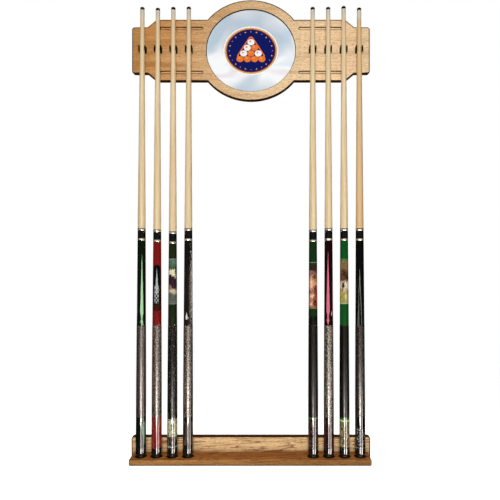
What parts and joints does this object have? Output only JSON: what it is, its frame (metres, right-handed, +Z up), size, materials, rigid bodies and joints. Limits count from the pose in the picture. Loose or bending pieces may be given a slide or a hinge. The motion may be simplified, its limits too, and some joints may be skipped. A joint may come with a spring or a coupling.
{
  "type": "wall cue rack",
  "caption": "Two-board oak wall rack with an oval mirror medallion, open-front cue clips above and a recessed tray shelf below, holding two-piece pool cues.",
  "frame": {"origin": "centre of the upper board's back face, on the wall plane", "axes": "+Z up, +Y into the wall, -Y towards the room, +X to the right as seen from the room"},
  "size_m": [0.792, 0.09, 1.5145],
  "materials": {
    "oak_upper": "satin lacquered oak, fine straight grain",
    "oak_tray": "satin lacquered oak, cathedral grain",
    "mirror_glass": "silvered glass",
    "hardboard": "raw hardboard",
    "clip_plastic": "black moulded plastic",
    "steel": "zinc plated",
    "shaft_maple": "polished maple",
    "tip_leather": "pressed black leather",
    "bumper_rubber": "black rubber",
    "butt_paint_1": "gloss black with a slim green spear",
    "butt_paint_2": "gloss red with a dark window",
    "butt_paint_3": "gloss dark green with a marbled panel",
    "butt_paint_4": "gloss black",
    "butt_paint_5": "gloss dark green with a rust marbled panel",
    "butt_paint_6": "gloss black-red with a pink spear",
    "butt_paint_7": "gloss bright green with a tan marbled panel",
    "butt_paint_8": "gloss black with silver spears"
  },
  "bodies": {
    "rack": {"upper_board": "oak_upper", "mirror_backing": "hardboard", "mirror_plate": "mirror_glass", "tray_back_board": "oak_tray", "tray_shelf": "oak_tray", "upper_hanger_left": "steel", "upper_hanger_right": "steel", "lower_hanger_left": "steel", "lower_hanger_right": "steel", "shelf_screw_1": "steel", "shelf_screw_2": "steel", "shelf_screw_3": "steel", "clip_1": "clip_plastic", "clip_screw_1": "steel", "clip_2": "clip_plastic", "clip_screw_2": "steel", "clip_3": "clip_plastic", "clip_screw_3": "steel", "clip_4": "clip_plastic", "clip_screw_4": "steel", "clip_5": "clip_plastic", "clip_screw_5": "steel", "clip_6": "clip_plastic", "clip_screw_6": "steel", "clip_7": "clip_plastic", "clip_screw_7": "steel", "clip_8": "clip_plastic", "clip_screw_8": "steel"},
    "cue_1": {"cue_1_bumper": "bumper_rubber", "cue_1_butt": "butt_paint_1", "cue_1_shaft": "shaft_maple", "cue_1_tip": "tip_leather"},
    "cue_2": {"cue_2_bumper": "bumper_rubber", "cue_2_butt": "butt_paint_2", "cue_2_shaft": "shaft_maple", "cue_2_tip": "tip_leather"},
    "cue_3": {"cue_3_bumper": "bumper_rubber", "cue_3_butt": "butt_paint_3", "cue_3_shaft": "shaft_maple", "cue_3_tip": "tip_leather"},
    "cue_4": {"cue_4_bumper": "bumper_rubber", "cue_4_butt": "butt_paint_4", "cue_4_shaft": "shaft_maple", "cue_4_tip": "tip_leather"},
    "cue_5": {"cue_5_bumper": "bumper_rubber", "cue_5_butt": "butt_paint_5", "cue_5_shaft": "shaft_maple", "cue_5_tip": "tip_leather"},
    "cue_6": {"cue_6_bumper": "bumper_rubber", "cue_6_butt": "butt_paint_6", "cue_6_shaft": "shaft_maple", "cue_6_tip": "tip_leather"},
    "cue_7": {"cue_7_bumper": "bumper_rubber", "cue_7_butt": "butt_paint_7", "cue_7_shaft": "shaft_maple", "cue_7_tip": "tip_leather"},
    "cue_8": {"cue_8_bumper": "bumper_rubber", "cue_8_butt": "butt_paint_8", "cue_8_shaft": "shaft_maple", "cue_8_tip": "tip_leather"}
  },
  "joints": [
    {"name": "cue_1_tilt", "type": "hinge", "parent": "rack", "child": "cue_1", "pos_m": [-0.3556, -0.0655, -1.33235], "axis": [1, 0, 0], "range_deg": [0, 12]},
    {"name": "cue_2_tilt", "type": "hinge", "parent": "rack", "child": "cue_2", "pos_m": [-0.3048, -0.0655, -1.33235], "axis": [1, 0, 0], "range_deg": [0, 12]},
    {"name": "cue_3_tilt", "type": "hinge", "parent": "rack", "child": "cue_3", "pos_m": [-0.254, -0.0655, -1.33235], "axis": [1, 0, 0], "range_deg": [0, 12]},
    {"name": "cue_4_tilt", "type": "hinge", "parent": "rack", "child": "cue_4", "pos_m": [-0.2032, -0.0655, -1.33235], "axis": [1, 0, 0], "range_deg": [0, 12]},
    {"name": "cue_5_tilt", "type": "hinge", "parent": "rack", "child": "cue_5", "pos_m": [0.2032, -0.0655, -1.33235], "axis": [1, 0, 0], "range_deg": [0, 12]},
    {"name": "cue_6_tilt", "type": "hinge", "parent": "rack", "child": "cue_6", "pos_m": [0.254, -0.0655, -1.33235], "axis": [1, 0, 0], "range_deg": [0, 12]},
    {"name": "cue_7_tilt", "type": "hinge", "parent": "rack", "child": "cue_7", "pos_m": [0.3048, -0.0655, -1.33235], "axis": [1, 0, 0], "range_deg": [0, 12]},
    {"name": "cue_8_tilt", "type": "hinge", "parent": "rack", "child": "cue_8", "pos_m": [0.3556, -0.0655, -1.33235], "axis": [1, 0, 0], "range_deg": [0, 12]}
  ]
}
